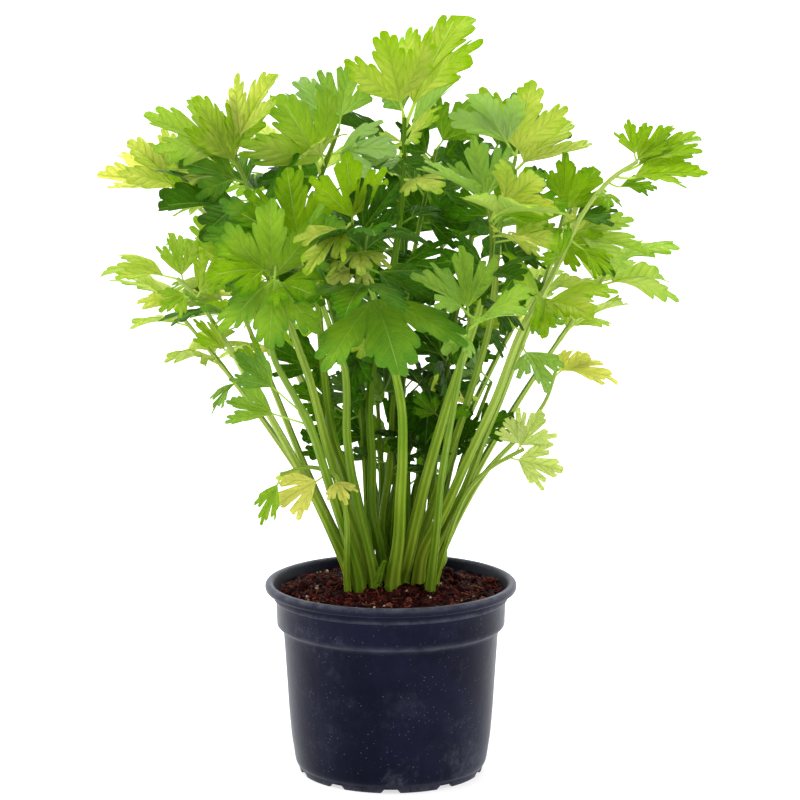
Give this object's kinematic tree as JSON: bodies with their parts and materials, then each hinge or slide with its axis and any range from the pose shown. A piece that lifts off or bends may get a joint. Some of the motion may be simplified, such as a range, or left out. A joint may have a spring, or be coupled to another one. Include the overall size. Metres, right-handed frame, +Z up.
{
  "type": "potted celery seedling",
  "caption": "Young celery plant with fanned stalks and lobed, toothed leaves, growing in compost in a round black plastic nursery pot.",
  "frame": {"origin": "on the pot's axis at the plane of its foot, the bottom centre of the whole plant's box", "axes": "+Z up along the pot's axis, +X to the viewer's right, -Y towards the viewer of the picture"},
  "size_m": [0.3125, 0.2436, 0.3942],
  "materials": {
    "pot_plastic": "satin",
    "potting_soil": "matte",
    "celery": "satin"
  },
  "bodies": {
    "root": {"pot": "pot_plastic", "soil": "potting_soil", "frond_01": "celery", "frond_02": "celery", "frond_03": "celery", "frond_04": "celery", "frond_05": "celery", "frond_06": "celery", "frond_07": "celery", "frond_08": "celery", "frond_09": "celery", "frond_10": "celery", "frond_11": "celery", "frond_12": "celery", "frond_13": "celery", "frond_14": "celery", "frond_15": "celery", "frond_16": "celery", "frond_17": "celery", "frond_18": "celery", "frond_19": "celery", "frond_20": "celery", "frond_21": "celery", "frond_22": "celery", "frond_23": "celery", "frond_24": "celery", "frond_25": "celery", "frond_26": "celery", "frond_27": "celery"}
  },
  "joints": []
}
